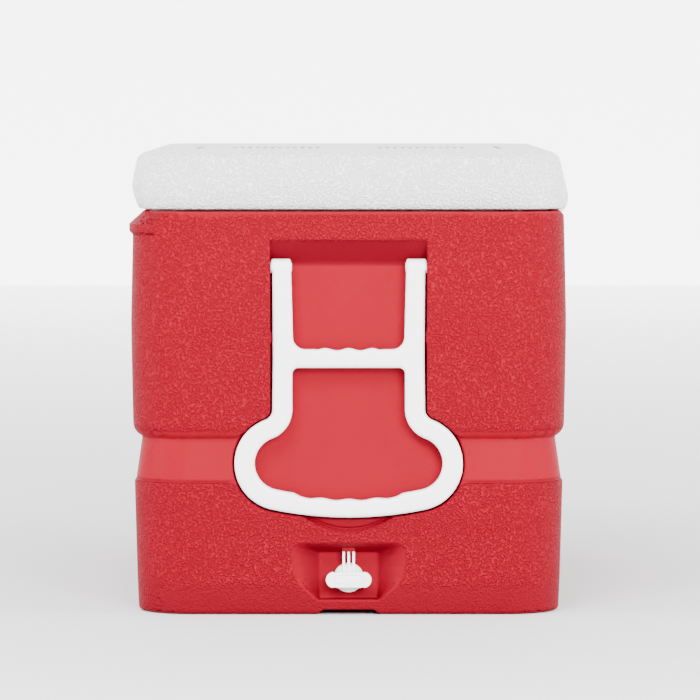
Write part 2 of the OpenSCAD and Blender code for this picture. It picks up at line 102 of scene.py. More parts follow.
# The handle: a loop of arms, bends, lobes and a curved lower grip, drawn on its middle line
BAR = box_mm("right_handle")
BAR_BACK, BAR_FRONT = BAR[0][0], BAR[1][0]
BAR_LOW, ARM_TOP = BAR[0][2], BAR[1][2]
BAR_HALF = 9.0
PIVOT_X, _, PIVOT_Z = centre(box_mm("right_handle_pin_rear"))
PIVOT_BORE_R = 4.08
ARM_END = ARM_TOP - PIVOT_Z
ARM_Y = 59.3
BEND_R = 19.0
LOBE_R = 33.0
LOBE_Y = 60.0
LOBE_Z = 135.9
BEND_Y = ARM_Y + BEND_R
BEND_Z = LOBE_Z + math.sqrt((BEND_R + LOBE_R) ** 2 - (BEND_Y - LOBE_Y) ** 2)
GRIP_R = 326.4
GRIP_Z = LOBE_Z + math.sqrt((GRIP_R - LOBE_R) ** 2 - LOBE_Y**2)
BEND_TURN = math.atan2(BEND_Z - LOBE_Z, BEND_Y - LOBE_Y)
GRIP_TURN = math.atan2(LOBE_Z - GRIP_Z, LOBE_Y)
CROSSBAR = (221.6, 238.8)

# The handle's pocket, the scoop under it and the band round the body
POCKET_GAP = 1.6
POCKET_FLOOR = HALF_L - 19.5
POCKET_TOP = 338.2
POCKET_CEILING = 314.9
POCKET_SLOPE = (POCKET_TOP - POCKET_CEILING) / (HALF_L - POCKET_FLOOR)
SCOOP_LOW = 74.3
SCOOP_R = 66.0
SCOOP_FLOOR = HALF_L - 12.0
BAND = (119.2, 157.0)
BAND_DEPTH = 1.5
BAND_LEAN = 6.4
BAND_R = 9.0

# The hinges
HINGE_PIN = box_mm("hinge_pin_right")
HINGE_X, HINGE_Y, HINGE_Z = centre(HINGE_PIN)
HINGE_HALF = (HINGE_PIN[1][0] - HINGE_PIN[0][0]) / 2 + 1
KNUCKLE_SPACE = 6.3
LEAF_ROOM = 1.0
LEAF_Y = box_mm("body_hinge_leaf_right")[0][1]
BODY_LEAF_LOW = box_mm("body_hinge_leaf_right")[0][2]
LID_LEAF_HIGH = box_mm("lid_hinge_leaf_right")[1][2]

# The drain: its tube, its flange and its plug
SPOUT = box_mm("drain_spout")
DRAIN_Z = centre(SPOUT)[2]
FLANGE_FACE = SPOUT[1][0]
SPOUT_R = 9.5
FLANGE_R = 13.4
CAP = box_mm("drain_cap")
CAP_FRONT = CAP[1][0]
DISC_R = 12.6
DISC_BACK = box_mm("drain_cap_seal")[1][0]
DISC_FRONT = DISC_BACK + 3
STRAP = box_mm("drain_strap")

# The drain's recess: its flat floor, and the half width of its mouth by height
RECESS_FLOOR = FLANGE_FACE - 3
RECESS_HALF = 26.2
RECESS_LOW = 13.3
RECESS_HIGH = 55.2
RECESS_MOUTH = [(8, 22), (RECESS_LOW, 28), (19.4, 36), (25.8, 42.8), (33.7, 47.3), (44, 49.6), (57, 49.8)]

# The liners
LINER_WALL = 2.0
RIM_TOP = BODY_TOP - 1.2
FLOOR_Z = box_mm("liner")[0][2] + LINER_WALL
SUMP = box_mm("drain_sump")
OPENING = (320.0, 161.0)
PLUG_LOW = box_mm("lid_liner")[0][2]
PANEL_FORWARD = 1.5
SEAT_GAP = 0.4

# The liner's hole for the spout lies beyond this x
SPOUT_HOLE_X = 290.0

# A distance that stands for nowhere near
FAR = 60.0


# ---- Distance fields ----


def join(a, b, r):
    """The overlap of two solids, with the edge between them rounded to r."""
    if r == 0:
        return np.maximum(a, b)
    over = np.hypot(np.maximum(a + r, 0), np.maximum(b + r, 0))
    return np.minimum(-r, np.maximum(a, b)) + over


def union(a, b, r):
    """Both solids together, with a fillet of r where they meet."""
    return -join(-a, -b, r)


def cut(a, b, r):
    """Solid a without b, with the new edge rounded to r."""
    return join(a, -b, r)


def rise(v, low, high):
    """0 below low, 1 above high and smooth between."""
    t = np.clip((v - low) / (high - low), 0, 1)
    return t * t * (3 - 2 * t)


def plan(x, y, hx, hy, r):
    """Distance from a rounded rectangle seen from above."""
    qx = np.abs(x) - hx + r
    qy = np.abs(y) - hy + r
    return np.hypot(np.maximum(qx, 0), np.maximum(qy, 0)) + np.minimum(np.maximum(qx, qy), 0) - r


def slab(v, low, high):
    return np.abs(v - (low + high) / 2) - (high - low) / 2


def profile(v, points):
    """How high the line through (place, height) points is at v."""
    places, heights = zip(*points)
    return np.interp(v, places, heights)


# ---- Meshing ----


def planes(*spans):
    """Grid planes from spans of (start, end, step), each taken up where the last one ends."""
    out = [np.array([spans[0][0]])]
    for start, end, step in spans:
        count = max(1, int(round((end - start) / step)))
        out.append(np.linspace(start, end, count + 1)[1:])
    return np.concatenate(out)


def both_sides(*spans):
    """Planes from the middle outward, and the same on the other side."""
    half = planes(*spans)
    return np.concatenate([-half[:0:-1], half])


EDGES = [
    (a, b)
    for a in np.ndindex(2, 2, 2)
    for b in np.ndindex(2, 2, 2)
    if a < b and sum(p != q for p, q in zip(a, b)) == 1
]


def net_points(value, grid, cell):
    """A point in each cell, amid the places where the surface crosses the cell's edges."""
    total = np.zeros((len(cell[0]), 3))
    hits = np.zeros(len(cell[0]))
    for a, b in EDGES:
        ia = tuple(c + o for c, o in zip(cell, a))
        ib = tuple(c + o for c, o in zip(cell, b))
        va, vb = value[ia], value[ib]
        crossed = (va < 0) != (vb < 0)
        t = np.where(crossed, va / np.where(crossed, va - vb, 1), 0)
        for axis, g in enumerate(grid):
            pa, pb = g[ia[axis]], g[ib[axis]]
            total[:, axis] += np.where(crossed, pa + t * (pb - pa), 0)
        hits += crossed
    return total / hits[:, None]


def net_faces(inside, number):
    """A four-sided face for each grid edge that the surface crosses, between its four cells' points."""
    faces = []
    for axis in range(3):
        u, v = (axis + 1) % 3, (axis + 2) % 3
        low = [slice(1, -1)] * 3
        high = [slice(1, -1)] * 3
        low[axis], high[axis] = slice(None, -1), slice(1, None)
        a, b = inside[tuple(low)], inside[tuple(high)]
        for where, order in ((a & ~b, 1), (b & ~a, -1)):
            at = list(np.nonzero(where))
            ring = []
            for du, dv in ((0, 0), (1, 0), (1, 1), (0, 1)):
                corner = list(at)
                corner[u] = at[u] + du
                corner[v] = at[v] + dv
                ring.append(number[tuple(corner)])
            faces.append(np.stack(ring[::order], axis=1))
    return np.concatenate(faces)


def nets(field, grid):
    """The surface where field is 0, as points and four-sided faces (surface nets)."""
    grid = [g.astype(np.float32) for g in grid]
    xs, ys, zs = grid
    value = field(xs[:, None, None], ys[None, :, None], zs[None, None, :])
    value = np.broadcast_to(value, (len(xs), len(ys), len(zs)))
    inside = value < 0
    corners_inside = np.zeros([n - 1 for n in inside.shape], np.uint8)
    nx, ny, nz = inside.shape
    for a, b, c in np.ndindex(2, 2, 2):
        corners_inside += inside[a : nx - 1 + a, b : ny - 1 + b, c : nz - 1 + c]
    cell = np.nonzero((corners_inside > 0) & (corners_inside < 8))
    number = np.full(corners_inside.shape, -1, np.int32)
    number[cell] = np.arange(len(cell[0]))
    return net_points(value, grid, cell), net_faces(inside, number)


def slope_of(field, p, value):
    """How the field grows along each axis at points where it has a value."""
    step = 0.02
    x, y, z = p.T
    ahead = [field(x + step, y, z), field(x, y + step, z), field(x, y, z + step)]
    return np.stack([after - value for after in ahead], axis=1) / step


def length_of(vectors):
    shortest = 1e-9
    return np.maximum(np.linalg.norm(vectors, axis=1), shortest)[:, None]


def settle(field, p, rounds, reach):
    """Moves points onto the surface by steps up to reach, and returns them with its direction there."""
    flattest = 0.05
    for _ in range(rounds):
        value = field(*p.T)
        slope = slope_of(field, p, value)
        steepness = np.maximum((slope**2).sum(axis=1), flattest)
        move = slope * (value / steepness)[:, None]
        p = p - move * np.minimum(1, reach / length_of(move))
    slope = slope_of(field, p, field(*p.T))
    return p, slope / length_of(slope)


def coordinates(mesh):
    """A mesh's points, in millimetres."""
    co = np.empty(len(mesh.vertices) * 3)
    mesh.vertices.foreach_get("co", co)
    return co.reshape(-1, 3) * MM


def new_mesh(name, points, faces):
    mesh = bpy.data.meshes.new(name)
    mesh.from_pydata((points / MM).tolist(), [], faces.tolist())
    return mesh


def reduced(name, mesh, limit):
    """The mesh collapsed to about limit triangles, flat stretches first."""
    triangles = 2 * len(mesh.polygons)
    if triangles <= limit:
        return mesh
    helper = bpy.data.objects.new(name + "_full", mesh)
    bpy.context.scene.collection.objects.link(helper)
    helper.modifiers.new("Collapse", "DECIMATE").ratio = limit / triangles
    depsgraph = bpy.context.evaluated_depsgraph_get()
    out = bpy.data.meshes.new_from_object(helper.evaluated_get(depsgraph))
    bpy.data.objects.remove(helper)
    bpy.data.meshes.remove(mesh)
    return out


def from_field(name, field, grid, limit, reach=0.8, paint=None, flip=False):
    """A smooth object on the surface of field, with at most about limit triangles.

    A point moves at most reach at a step as it settles. paint holds the surface attributes, each a function
    of the place that is 0 to 1. flip mirrors the object in x.
    """
    points, faces = nets(field, grid)
    points, _ = settle(field, points, rounds=2, reach=reach)
    mesh = reduced(name, new_mesh(name, points, faces), limit)
    points, normals = settle(field, coordinates(mesh), rounds=1, reach=reach / 2)
    if flip:
        points[:, 0] *= -1
        normals[:, 0] *= -1
        mesh.flip_normals()
    mesh.vertices.foreach_set("co", (points / MM).ravel())
    mesh.update()
    mesh.polygons.foreach_set("use_smooth", [True] * len(mesh.polygons))
    mesh.normals_split_custom_set_from_vertices(normals.tolist())
    for label, amount in (paint or {}).items():
        layer = mesh.attributes.new(label, "FLOAT", "POINT")
        layer.data.foreach_set("value", amount(*points.T).astype(np.float32))
    mesh.name = name
    piece = bpy.data.objects.new(name, mesh)
    bpy.context.scene.collection.objects.link(piece)
    return piece


# ---- The handle's outline ----


def loop_outline(y, z, off):
    """Signed distance in the end's plane from the handle's middle line moved outward by off."""
    u = np.abs(y)
    turn = np.arctan2(z - LOBE_Z, u - LOBE_Y)
    arm = u - ARM_Y - off
    bend = BEND_R - off - np.hypot(u - BEND_Y, z - BEND_Z)
    lobe = np.hypot(u - LOBE_Y, z - LOBE_Z) - LOBE_R - off
    grip = np.hypot(u, z - GRIP_Z) - GRIP_R - off
    upper = np.where(z >= BEND_Z, arm, np.where(u < BEND_Y, bend, lobe))
    inner = np.where((turn > BEND_TURN) & (z > LOBE_Z), upper, grip)
    return np.where((turn <= BEND_TURN) & (turn >= GRIP_TURN), np.where(z >= BEND_Z, arm, lobe), inner)


def scallops(y, pitch, reach):
    """Finger grooves along a grip, -1 to 1, fading out past reach."""
    return np.cos(2 * math.pi * y / pitch) * (1 - rise(np.abs(y), reach, reach + pitch / 3))


# ---- The body ----


def side_inset(z):
    """How far inside its widest line the body's side lies at a height."""
    foot_inset, foot_drop, foot_bend = 5.0, 216, 1.25
    top_inset, top_climb, top_bend = 2.0, 91, 1.2
    below = foot_inset * (np.maximum(WIDEST_Z - z, 0) / foot_drop) ** foot_bend
    above = top_inset * (np.maximum(z - WIDEST_Z, 0) / top_climb) ** top_bend
    return below + above


def front_ledge(y, z):
    """How far the ledge along the front stands out, and how far in the chamfer above it goes."""
    section = [(338.8, 0), (340.0, 0.5), (342.0, 2.9), (344.0, 3.45), (349.4, 3.5), (361.4, -9.4)]
    at_front = 1 - rise(y, -180, -164)
    return profile(z, section) * at_front


def side_panel(x, z):
    """How deep the panel of a long side is: shallow above the widest line, and half that below it."""
    depth = 2.0
    middle = 1 - rise(np.abs(x), HALF_L - 110, HALF_L - 62)
    upper = rise(z, 258.5, 264.5) * (1 - rise(z, 292, 310))
    lower = 0.5 * (1 - rise(z, 243, 259)) * rise(z, 172, 200)
    return depth * middle * (upper + lower)


def body_side(x, y, z):
    """The body's sides without its band, its recesses or its top and bottom."""
    tuck_bend = 1.3
    inset = side_inset(z)
    tuck = TUCK_DEPTH * np.clip(1 - z / TUCK_Z, 0, 1) ** tuck_bend
    d = plan(x, y, HALF_L - inset - tuck, BODY_HALF_W - inset, CORNER_R - inset)
    return d + side_panel(x, z) - front_ledge(y, z)


def band_depth(z):
    """How far the band's floor lies inside the body's side, with a groove along its lower edge."""
    groove_depth = 0.6
    groove = groove_depth * (1 - rise(z - BAND[0], 0.6, 2.4))
    up = np.clip((z - BAND[0]) / (BAND[1] - BAND[0]), 0, 1)
    return BAND_DEPTH + up * BAND_LEAN + groove


def pocket_outline(x, y, z):
    """The handle's outline with the gap round it, under a ceiling that slopes up and out."""
    height = z - POCKET_CEILING - POCKET_SLOPE * (np.abs(x) - POCKET_FLOOR)
    ceiling = height / math.hypot(1, POCKET_SLOPE)
    return join(loop_outline(y, z, BAR_HALF + POCKET_GAP), ceiling, 1.2)


def handle_pocket(x, y, z):
    """The hollow that the handle hangs in."""
    return join(pocket_outline(x, y, z), POCKET_FLOOR - np.abs(x), 1.5)


def finger_scoop(x, y, z):
    """The hollow under the lower grip, with a steep rim and a floor that deepens towards it."""
    rim_lean, groove_depth = 1.9, 1.4
    top = 105
    low = SCOOP_LOW + rim_lean * (HALF_L - np.abs(x)) / (HALF_L - SCOOP_FLOOR)
    circle = np.maximum(np.hypot(y, z - low - SCOOP_R) - SCOOP_R, z - top)
    groove = groove_depth * rise(circle, -3.0, -0.5)
    return join(circle, SCOOP_FLOOR - groove - np.abs(x), 1.5)


def drain_recess(x, y, z):
    """The pocket round the drain, with sloping sides and ceiling that widen towards its mouth."""
    mouth_inset, ceiling_climb = 5, 8.7
    side_steepness, ceiling_steepness = 0.75, 0.93
    edge_r, mouth_r = 1.5, 7.0
    out = np.clip((x - RECESS_FLOOR) / (HALF_L - mouth_inset - RECESS_FLOOR), 0, 1)
    half = RECESS_HALF + (profile(z, RECESS_MOUTH) - RECESS_HALF) * out
    side = (np.abs(y) - half) * side_steepness
    ceiling = (z - RECESS_HIGH - ceiling_climb * out) * ceiling_steepness
    walls = join(side, ceiling, edge_r)
    walls = walls + (join(side, ceiling, mouth_r) - walls) * out
    return join(join(walls, RECESS_LOW - z, edge_r), RECESS_FLOOR - x, edge_r)


def base_channel(x, y, z):
    """The flared notch under each end."""
    length, half, height = 46, 28.3, 4.2
    flare, side_steepness = 1.3, 0.61
    side = (np.abs(y) - half + z * flare) * side_steepness
    return join(join(side, z - height, 0.8), HALF_L - length - np.abs(x), 3.0)


def spout_bore(x, y, z, start):
    """The drain's hole, from start outward."""
    return np.maximum(np.hypot(y, z - DRAIN_Z) - SPOUT_R, start - x)


def hinge_space(x, y, z, low, high):
    """The seat of a hinge: its leaves and the round of its knuckles."""
    behind_leaf = 0.2
    along = slab(np.abs(x), HINGE_X - HINGE_HALF, HINGE_X + HINGE_HALF)
    seat = np.maximum(LEAF_Y - behind_leaf - y, slab(z, low, high))
    knuckles = np.hypot(y - HINGE_Y, z - HINGE_Z) - KNUCKLE_SPACE
    return np.maximum(along, np.minimum(seat, knuckles))


def body_hinges(x, y, z):
    return hinge_space(x, y, z, BODY_LEAF_LOW - LEAF_ROOM, HINGE_Z)


def lid_hinges(x, y, z):
    return hinge_space(x, y, z, HINGE_Z - LEAF_ROOM, LID_LEAF_HIGH + LEAF_ROOM)


def stop_bumps(x, y, z):
    """The small bumps that hold the arms in the pocket."""
    bump_x, bump_z, bump_r = 350, 249, 1.6
    half_deep, half_high, sunk = 3.5, 3.6, 0.5
    up = np.maximum(np.abs(z - bump_z) - half_high, 0)
    deep = np.maximum(np.abs(np.abs(x) - bump_x) - half_deep, 0)
    side = np.abs(y) - (ARM_Y + BAR_HALF + POCKET_GAP) - sunk
    return np.sqrt(up**2 + deep**2 + side**2) - bump_r


def outer_body(x, y, z):
    """The solid that the red shell wraps: a core at the band's depth, fuller above and below the band."""
    overhang_r, step_r = 13.0, 1.3
    end_zone = 45
    side = body_side(x, y, z)
    core = cut(side + band_depth(z), handle_pocket(x, y, z), 2.0)
    pocket = np.where(np.abs(x) < HALF_L - end_zone, FAR, pocket_outline(x, y, z))
    upper = cut(join(side, BAND[1] - z, overhang_r), union(pocket, z - BAND[1], BAND_R), 1.4)
    lower = cut(join(side, z - BAND[0], step_r), union(pocket, BAND[0] - z, BAND_R), 2.4)
    solid = np.minimum(core, np.minimum(upper, lower))
    solid = cut(solid, finger_scoop(x, y, z), 1.2)
    solid = cut(solid, drain_recess(x, y, z), 1.8)
    rear_edge = (z - BODY_TOP + REAR_SLANT * (y - REAR_EDGE_Y)) / math.hypot(1, REAR_SLANT)
    solid = join(join(solid, z - BODY_TOP, TOP_R), rear_edge, 0.4)
    solid = join(solid, -z, BASE_R)
    return cut(solid, base_channel(x, y, z), 0.6)


def rim_opening(x, y, gap):
    """The opening in the body's top that the liner's rim fits, narrowed by gap."""
    end, side, forward = 12, 14, 0.5
    return plan(x, y - forward, HALF_L - end - gap, BODY_HALF_W - side - gap, CORNER_R - end)


def red_shell(x, y, z):
    """The body's red skin, open at the top inside its rim, with the hinges' seats and drain's hole."""
    rim_depth = 8
    solid = union(outer_body(x, y, z), stop_bumps(x, y, z), 0.8)
    inside = np.maximum(body_side(x, y, z), solid)
    hinge = body_hinges(x, y, z)
    hollow = np.maximum(inside + SKIN, z - BODY_TOP + SKIN)
    hollow = np.maximum(hollow, SKIN - hinge)
    hollow = np.minimum(hollow, np.maximum(rim_opening(x, y, 0), BODY_TOP - rim_depth - z))
    solid = cut(solid, hinge, 0.6)
    return np.maximum(np.maximum(solid, -hollow), -spout_bore(x, y, z, 0))


def in_recess(x, y, z):
    """1 in the drain's recess, 0 outside it."""
    return 1 - rise(drain_recess(x, y, z), 0.2, 1.5)


def red_skin(x, y, z):
    """1 on the pebbled outside, 0 in the band, the recesses and inside."""
    tuck_top, end_zone = 40, 40
    outside = 1 - rise(np.abs(body_side(x, y, z)), 0.5, 1.6)
    tucked = rise(tuck_top - z, 0, 12) * (np.abs(x) > HALF_L - end_zone)
    smooth_foot = 1 - 0.3 * rise(z, 0.4, 2.0) - 0.7 * rise(z, *FOOT)
    smooth_top = rise(z, BODY_TOP - 2.5, BODY_TOP - 0.8)
    elsewhere = 1 - in_recess(x, y, z)
    pebbles = np.maximum(outside, tucked * elsewhere) - smooth_foot - smooth_top
    return np.clip(pebbles, 0, 1) * elsewhere


def red_painted_shade(x, y, z):
    """How much shade is painted on the red, 0 to 1, in the hollows and towards the foot."""
    crease_shade, scoop_shade, foot_shade = 0.8, 0.4, 0.6
    end_zone = 30
    side = body_side(x, y, z)
    # Painted shade on the pocket's ceiling, along the creases round the pocket and the band, in the scoop
    # and on the drain recess's walls and ceiling
    ceiling = rise(z, POCKET_CEILING - 3, POCKET_CEILING - 1) * rise(-side, 0.3, 1.2)
    ceiling = ceiling * (np.abs(x) > HALF_L - end_zone)
    edge = union(pocket_outline(x, y, z), BAND[0] - z, BAND_R)
    crease = crease_shade * (1 - rise(np.abs(edge), 0.7, 2.2)) * rise(-side, 1.2, 1.7) * (side > -12)
    scoop = scoop_shade * (1 - rise(finger_scoop(x, y, z), 0.2, 1.2))
    recess = in_recess(x, y, z) * rise(x, RECESS_FLOOR + 0.3, RECESS_FLOOR + 1.2)
    recess = recess * (0.6 + 0.4 * rise(z, 50, 56)) * (1 - 0.5 * rise(x, HALF_L - 18, HALF_L - 8))
    # Painted shade towards the foot
    foot = foot_shade * (1 - rise(z, FOOT[0], FOOT[1] + 2)) * (side > -1)
    darkest = ceiling
    for hollow in (crease, scoop, recess, foot):
        darkest = np.maximum(darkest, hollow)
    return darkest


# The ends of a hinge's seat lie between these distances from the hinge's middle
SEAT_NEAR, SEAT_FAR = 42, 50


def hinge_spans(fine, coarse):
    """Grid spans along a hinge: fine where its seat ends and coarse between."""
    return [
        (HINGE_X - SEAT_FAR, HINGE_X - SEAT_NEAR, fine),
        (HINGE_X - SEAT_NEAR, HINGE_X + SEAT_NEAR, coarse),
        (HINGE_X + SEAT_NEAR, HINGE_X + SEAT_FAR, fine),
    ]


def red_grid():
    """Fine over the ends, the foot, the band and the rim, coarser along the plain sides."""
    fine, sharp = ((1.5, 0.9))
    end = HALF_L - 62
    rear = HALF_W - 12
    xs = both_sides(
        (0, HINGE_X - SEAT_FAR, 12),
        *hinge_spans(1.5, 7),
        (HINGE_X + SEAT_FAR, end, 6),
        (end, HALF_L + 4, fine),
    )
    ys = both_sides((0, 114, fine), (114, 138, 2.4), (138, rear, 2.0), (rear, HALF_W + 3, 1.2))
    base = [(-4, 6, 1.2), (6, 68, fine), (68, 78, 2)]
    band_and_side = [(78, 192, fine), (192, 244, 4), (244, 254, 1.5), (254, 268, 2), (268, 311, 4)]
    top = [(311, 330, fine), (330, BODY_TOP + 3, sharp)]
    return xs, ys, planes(*base, *band_and_side, *top)


# ---- The lid ----


def lid_block(x, y, z):
    """The lid's outer form, fuller at the rear, where it laps over the hinges."""
    end_gap = 0.6
    up = z - LID_LOW
    lower = [(0, 8.2), (0.6, 6.6), (3.7, 4.6), (11, 2.0), (16, 0.7)]
    upper = [(21, 0), (26, 0.5), (37, 2.6), (44.7, 4.6), (51.1, 6.8)]
    front = profile(up, lower + upper)
    lower = [(0, 5.2), (0.9, 2.7), (4.3, 0.9), (9.5, 0.3)]
    upper = [(14, 0.6), (26, 3.5), (37, 5.9), (46, 8.4), (51.1, 10)]
    rear = profile(up, lower + upper)
    y0 = front - LID_FRONT
    y1 = LID_REAR - rear
    end = HALF_L - end_gap - front
    return plan(x, y - (y0 + y1) / 2, end, (y1 - y0) / 2, CORNER_R - front)


def lid_grooves(x, y, z):
    """Two sets of anti-slip grooves across the middle of the top, with a channel beyond each."""
    pitch, first, last = 7.2, 30.2, 11
    groove_half, groove_r = 68, 1.9
    channel_half, channel_y, channel_r = 122, 143, 2.6
    depth = 2.0
    u = np.abs(y)
    near = np.clip(np.round((u - first) / pitch), 0, last) * pitch + first
    groove = np.hypot(np.maximum(np.abs(x) - groove_half, 0), u - near) - groove_r
    channel = np.hypot(np.maximum(np.abs(x) - channel_half, 0), u - channel_y) - channel_r
    return np.maximum(np.minimum(groove, channel), HEIGHT - depth - z)


def white_lid(x, y, z):
    """The lid's skin, open underneath inside its edge, with grooves on top and seats for the hinges."""
    edge_end, edge_side, edge_r = 11.2, 9.8, 11
    top_gap, low_gap = 0.02, 0.1
    block = lid_block(x, y, z)
    hinge = lid_hinges(x, y, z)
    opening = plan(x, y - PANEL_FORWARD, HALF_L - edge_end, LID_FRONT - edge_side, CORNER_R - edge_r)
    hollow = np.maximum(np.maximum(block + SKIN, z - HEIGHT + SKIN + 1), SKIN - hinge)
    hollow = np.maximum(hollow, opening)
    solid = join(block, z - HEIGHT + top_gap, LID_TOP_R)
    solid = cut(cut(solid, lid_grooves(x, y, z), 0.7), hinge, 0.6)
    solid = join(solid, LID_LOW - low_gap - z, 0.5)
    return np.maximum(solid, -hollow)


def lid_skin(x, y, z):
    """1 on the pebbled sides and top, 0 in the grooves and underneath."""
    outside = 1 - rise(np.abs(join(lid_block(x, y, z), z - HEIGHT, LID_TOP_R)), 0.3, 1.0)
    return outside * rise(z, LID_LOW, LID_LOW + 0.6)


def lid_painted_shade(x, y, z):
    """Painted shade: 1 down in the grooves, 0 elsewhere."""
    # Painted shade on the groove floors and walls
    grooved = plan(x, y, 130, 150, 5) < 0
    on_top = z > HEIGHT - 2.6
    return (1 - rise(z, HEIGHT - 1.3, HEIGHT - 0.5)) * on_top * grooved


def lid_grid():
    """Fine over the grooves, the hinges' seats, the ends and the rounded top edge."""
    fine = 1.25
    end = HALF_L - 60
    xs = both_sides(
        (0, 66, 8),
        (66, 72, fine),
        (72, 120, 8),
        (120, 127, fine),
        (127, HINGE_X - SEAT_FAR, 6),
        *hinge_spans(fine, 10),
        (HINGE_X + SEAT_FAR, end, 6),
        (end, HALF_L + 3, fine),
    )
    ys = both_sides((0, 27, 5), (27, 114, 0.9), (114, 139, 4), (139, HALF_W + 3, fine))
    edge = LID_LOW + 12
    top = HEIGHT - 9
    return xs, ys, planes((LID_LOW - 4, edge, 1.0), (edge, top, 3), (top, HEIGHT + 3, 0.8))


# ---- The liners ----


def tub(x, y, z, grow):
    """The liner's inside, which widens towards its rim, grown by a wall."""
    corner_r, floor_r = 42.0, 16.0
    floor_inset = 10
    draft = floor_inset * (1 - (z - FLOOR_Z) / (RIM_TOP - FLOOR_Z))
    half_x, half_y = OPENING[0] - draft + grow, OPENING[1] - draft + grow
    sides = plan(x, y, half_x, half_y, corner_r + grow - draft * 0.6)
    return join(sides, FLOOR_Z - grow - z, floor_r + grow)


def sump(x, y, z, grow):
    """The inside of the sump in the liner's floor, grown by a wall."""
    corner_r, floor_r = 4.0, 3.0
    left, _, bottom = SUMP[0] + LINER_WALL
    right, half, _ = SUMP[1] - LINER_WALL
    mouth = FLOOR_Z + 6
    hollow = join(slab(x, left - grow, right + grow), np.abs(y) - half - grow, corner_r + grow)
    return join(np.maximum(hollow, z - mouth), bottom - grow - z, floor_r + grow)


def white_liner(x, y, z):
    """The tub with its sump, its rim flange and the drain's hole."""
    flange = join(rim_opening(x, y, 0.5), slab(z, RIM_TOP - LINER_WALL, RIM_TOP), 0.9)
    flange = np.maximum(flange, SKIN + SEAT_GAP - body_hinges(x, y, z))
    outside = np.maximum(np.minimum(tub(x, y, z, LINER_WALL), sump(x, y, z, LINER_WALL)), z - RIM_TOP)
    inside = union(tub(x, y, z, 0), sump(x, y, z, 0), 2.0)
    solid = cut(union(flange, outside, 1.0), inside, 1.8)
    return np.maximum(solid, -spout_bore(x, y, z, SPOUT_HOLE_X))


def liner_grid():
    """Fine over the walls, the sump and the rim, coarser over the flat floor."""
    fine = 1.3
    neck = RIM_TOP - 7
    xs = both_sides((0, 264, 11), (264, HALF_L - 5, fine))
    ys = both_sides((0, 10, 1.5), (10, 106, 4), (106, HALF_W - 10, fine))
    return xs, ys, planes((13, 62, fine), (62, neck, 9), (neck, RIM_TOP + 2, 0.9))


def white_lid_liner(x, y, z):
    """The lid's inner panel: a flat edge and a plug with a sunk field."""
    edge_end, edge_side, edge_r = 11, 9.5, 10
    plug_gap, field_edge, sunk = 2.5, 32, 1.4
    edge = plan(x, y - PANEL_FORWARD, HALF_L - edge_end, LID_FRONT - edge_side, CORNER_R - edge_r)
    plate = join(edge, slab(z, LID_LOW, LID_LOW + LINER_WALL), 0.9)
    plate = np.maximum(plate, SKIN + SEAT_GAP - lid_hinges(x, y, z))
    side = plan(x, y, OPENING[0] - plug_gap, OPENING[1] - plug_gap, 39)
    field = plan(x, y, OPENING[0] - field_edge, OPENING[1] - field_edge, 26)
    low = PLUG_LOW + sunk * rise(-field, -3, 3)
    plug = join(side, low - z, 5.0)
    inside = join(side + LINER_WALL, low + LINER_WALL - z, 4.0)
    solid = union(plate, np.maximum(plug, z - LID_LOW - LINER_WALL), 2.0)
    return np.maximum(solid, -inside)


def lid_liner_grid():
    """Fine over the plug's sides and the edge, coarser over the flat field."""
    fine = 1.3
    xs = both_sides((0, 264, 9), (264, HALF_L - 6, fine))
    ys = both_sides((0, 104, 9), (104, HALF_W - 6, fine))
    return xs, ys, planes((PLUG_LOW - 2, LID_LOW + 5, 0.9))


# ---- The handle ----


def grip_openings(y, z):
    """The two openings of the handle, above and below its crossbar, with finger bumps on both grips."""
    upper_r, lower_r = 10.6, 5.5
    bump_rise, bump_half, bump_pitch = 2.4, 0.7, 24
    notch_depth = 0.7
    u = np.abs(y)
    lean = profile(z, [(230, -1.0), (315, 1.2)])
    crossbar_top = CROSSBAR[1] - notch_depth + scallops(y, pitch=21.0, reach=24.0)
    upper = join(u - (ARM_Y - BAR_HALF) - lean, crossbar_top - z, upper_r)
    on_grip = (1 - rise(u, 43, 50)) * (z < LOBE_Z)
    bumps = on_grip * (bump_rise - bump_half * np.cos(2 * math.pi * y / bump_pitch))
    lower = join(loop_outline(y, z, bumps - BAR_HALF), z - CROSSBAR[0], lower_r)
    return upper, lower


def white_handle(x, y, z):
    """The handle at the right end: the face that its outline gives, made thick, with its pins' bores."""
    boss_out, boss_low = 69.6, 308.0
    edge_r = 3.6
    upper, lower = grip_openings(y, z)
    taper = profile(z, [(190, 0), (230, -0.6), (315, -0.1)])
    face = cut(cut(loop_outline(y, z, BAR_HALF + taper), upper, 0), lower, 0)
    boss = np.maximum(slab(np.abs(y), ARM_Y, boss_out), slab(z, boss_low, ARM_TOP))
    face = join(np.minimum(face, boss), z - ARM_TOP, 1.0)
    from_pivot = np.hypot(x - PIVOT_X, z - PIVOT_Z)
    round_end = np.where(z > PIVOT_Z, from_pivot - ARM_END, -FAR)
    thick = np.maximum(slab(x, BAR_BACK, BAR_FRONT), round_end)
    return np.maximum(join(face, thick, edge_r), PIVOT_BORE_R - from_pivot)


def handle_grid():
    """Fine over both grips and the pivots, coarser along the arms."""
    fine = 1.0
    xs = planes((BAR_BACK - 2, BAR_FRONT + 2, 0.9))
    grips = [(BAR_LOW - 2, 192, fine), (192, 215, 2), (215, 256, fine)]
    return xs, both_sides((0, 104, fine)), planes(*grips, (256, 300, 3), (300, ARM_TOP + 2, fine))


# ---- The drain ----


